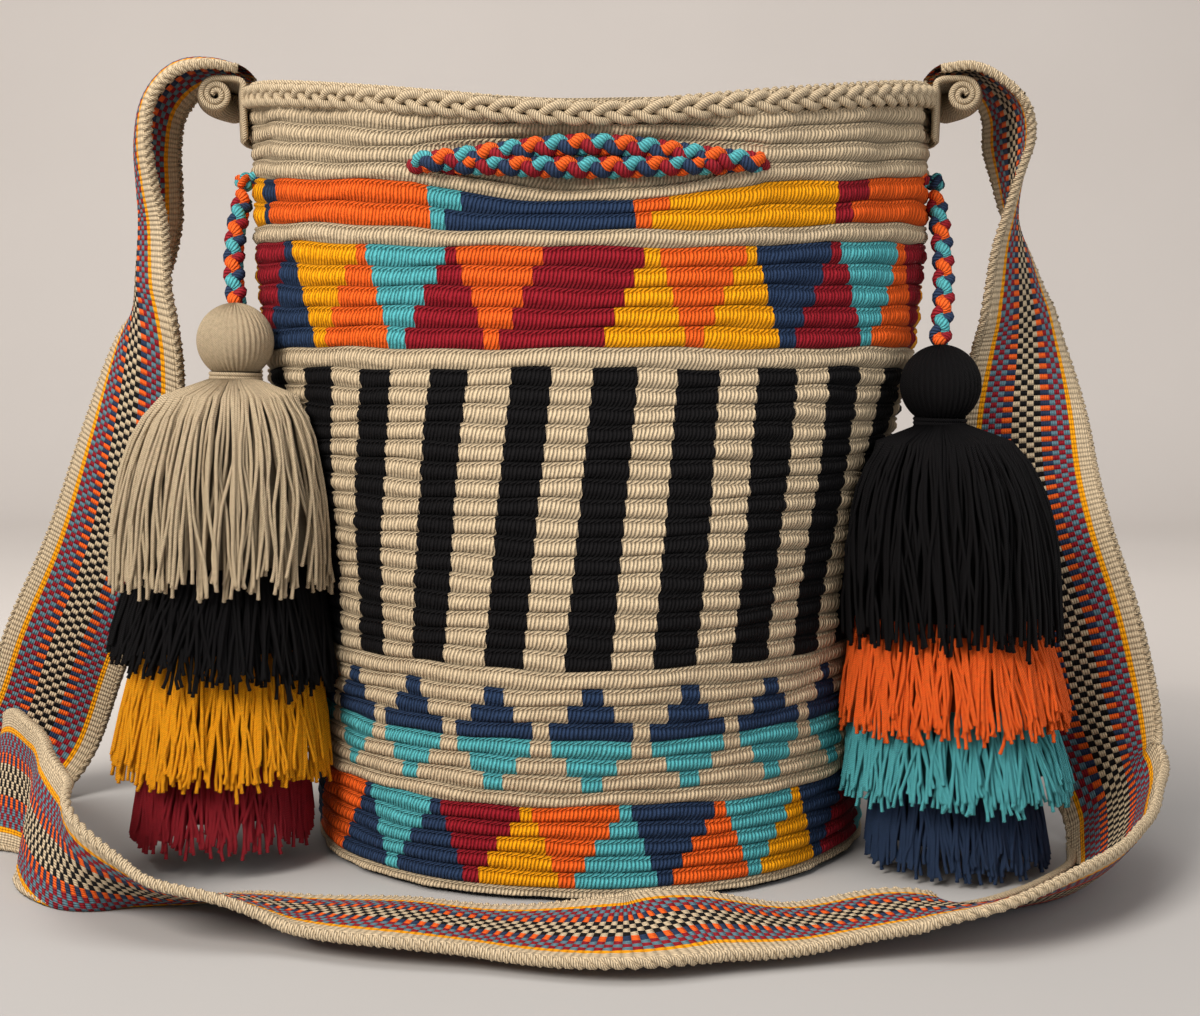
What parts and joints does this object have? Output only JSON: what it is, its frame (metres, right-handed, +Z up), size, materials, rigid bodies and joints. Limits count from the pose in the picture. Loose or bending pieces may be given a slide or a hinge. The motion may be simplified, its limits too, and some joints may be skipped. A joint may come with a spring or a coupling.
{
  "type": "crocheted shoulder bag",
  "caption": "Round-based crocheted bucket bag with a drawstring mouth, a woven shoulder strap and hanging tiered tassels.",
  "frame": {"origin": "middle of the round base, on the floor", "axes": "+Z up the bag to its mouth, -Y the side with the crossing drawstring strands, +X from the left tassel to the right one"},
  "size_m": [0.4722, 0.2831, 0.29],
  "materials": {
    "crochet_beige": "crocheted cotton yarn, matt",
    "woven_band": "patterned woven cotton band, matt",
    "braid": "four-colour braided cotton cord, matt",
    "yarn_beige": "twisted cotton yarn, matt",
    "yarn_black": "twisted cotton yarn, matt",
    "yarn_orange": "twisted cotton yarn, matt",
    "yarn_yellow": "twisted cotton yarn, matt",
    "yarn_turquoise": "twisted cotton yarn, matt",
    "yarn_navy": "twisted cotton yarn, matt",
    "yarn_burgundy": "twisted cotton yarn, matt"
  },
  "bodies": {
    "root": {"bag_body": "crochet_beige", "drawstring": "braid", "left_stopper_knot": "yarn_orange", "right_stopper_knot": "yarn_navy", "strap": "woven_band", "left_strap_collar": "crochet_beige", "right_strap_collar": "crochet_beige"},
    "left_tassel": {"left_tail_cord": "braid", "left_tassel_head": "yarn_beige", "left_tassel_tier_2": "yarn_black", "left_tassel_tier_3": "yarn_yellow", "left_tassel_tier_4": "yarn_burgundy", "left_neck_tie": "yarn_beige", "left_core_cord": "yarn_orange"},
    "right_tassel": {"right_tail_cord": "braid", "right_tassel_head": "yarn_black", "right_tassel_tier_2": "yarn_orange", "right_tassel_tier_3": "yarn_turquoise", "right_tassel_tier_4": "yarn_navy", "right_neck_tie": "yarn_black", "right_core_cord": "yarn_navy"}
  },
  "joints": [
    {"name": "left_tassel_swing", "type": "hinge", "parent": "root", "child": "left_tassel", "pos_m": [-0.13325, -0.00742, 0.249], "axis": [-0.9887, -0.15, 0], "range_deg": [0, 5]},
    {"name": "right_tassel_swing", "type": "hinge", "parent": "root", "child": "right_tassel", "pos_m": [0.13298, -0.00746, 0.2414], "axis": [-0.9887, 0.15, 0], "range_deg": [0, 4]}
  ]
}
